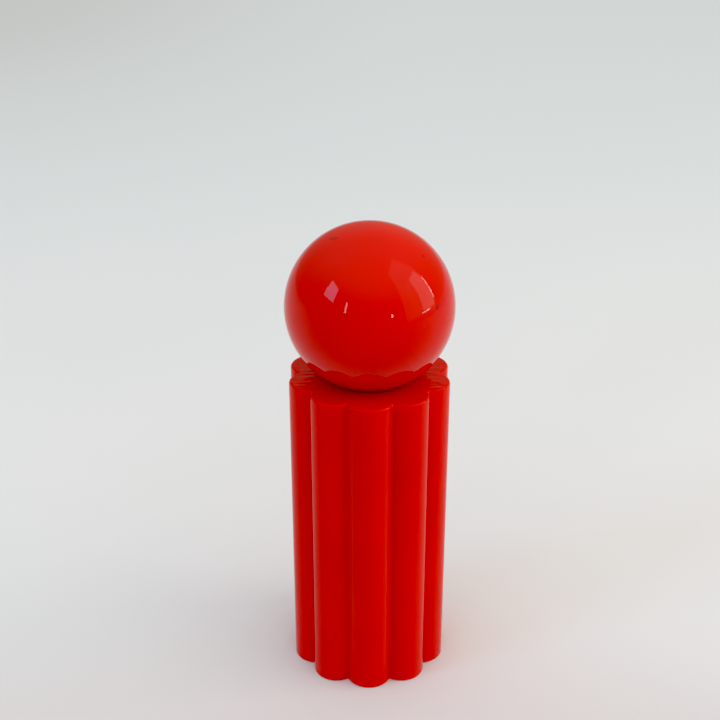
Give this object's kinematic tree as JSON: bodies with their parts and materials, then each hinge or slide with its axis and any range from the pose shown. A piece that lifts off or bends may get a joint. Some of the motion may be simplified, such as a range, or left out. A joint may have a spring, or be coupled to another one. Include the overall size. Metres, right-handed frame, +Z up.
{
  "type": "pepper mill",
  "caption": "Upright hand mill with a fluted, lacquered wooden body, a ball head that turns and lifts off, a ceramic grinder and a coarseness knob in the foot.",
  "frame": {"origin": "On the standing surface, on the mill's vertical axis.", "axes": "+Z up along the turning axis; -Y is the front and passes through the crest of a lobe; +X to the right."},
  "size_m": [0.0568, 0.0568, 0.1654],
  "materials": {
    "body_lacquer": "red satin-gloss lacquer over a fluted beech column",
    "ball_lacquer": "red high-gloss lacquer over a turned beech ball, bare beech on the tenon",
    "natural_plastic": "natural off-white acetal, as moulded",
    "spring_steel": "bright stainless spring steel",
    "screw_steel": "zinc-plated steel",
    "shaft_aluminium": "drawn bar with fine lengthwise lines",
    "burr_ceramic": "unglazed white alumina, fine grained",
    "black_plastic": "fine-textured black plastic",
    "knob_plastic": "black plastic with lightly polished scallops",
    "insert_brass": "turned brass"
  },
  "bodies": {
    "body": {"body": "body_lacquer", "grinder_housing": "black_plastic", "housing_screws": "screw_steel", "grinding_ring": "burr_ceramic", "shaft_guide": "black_plastic"},
    "shaft": {"shaft": "shaft_aluminium", "shaft_clip": "spring_steel", "shaft_end_clip": "spring_steel", "guide_bush": "natural_plastic", "spring_washer": "spring_steel", "cone_spring": "spring_steel"},
    "cone": {"grinding_cone": "burr_ceramic", "cone_hub": "black_plastic", "thrust_washer": "natural_plastic"},
    "knob": {"adjuster_knob": "knob_plastic", "knob_insert": "insert_brass"},
    "head": {"ball_head": "ball_lacquer", "drive_socket": "natural_plastic", "socket_clip": "spring_steel", "socket_screws": "screw_steel"}
  },
  "joints": [
    {"name": "grind_turn", "type": "hinge", "parent": "body", "child": "shaft", "pos_m": [0, 0, 0.0265], "axis": [0, 0, 1], "continuous": true},
    {"name": "head_lift", "type": "slide", "parent": "shaft", "child": "head", "axis": [0, 0, 1], "range_m": [0, 0.045]},
    {"name": "cone_drop", "type": "slide", "parent": "shaft", "child": "cone", "axis": [0, 0, -1], "range_m": [0, 0.0012], "deforming": ["cone_spring"]},
    {"name": "adjuster_turn", "type": "hinge", "parent": "cone", "child": "knob", "pos_m": [0, 0, 0.0065], "axis": [0, 0, 1], "range_deg": [0, 540]}
  ],
  "couplings": [
    {"joint": "cone_drop", "follows": "adjuster_turn", "m_per_rad": 0.00012732}
  ]
}
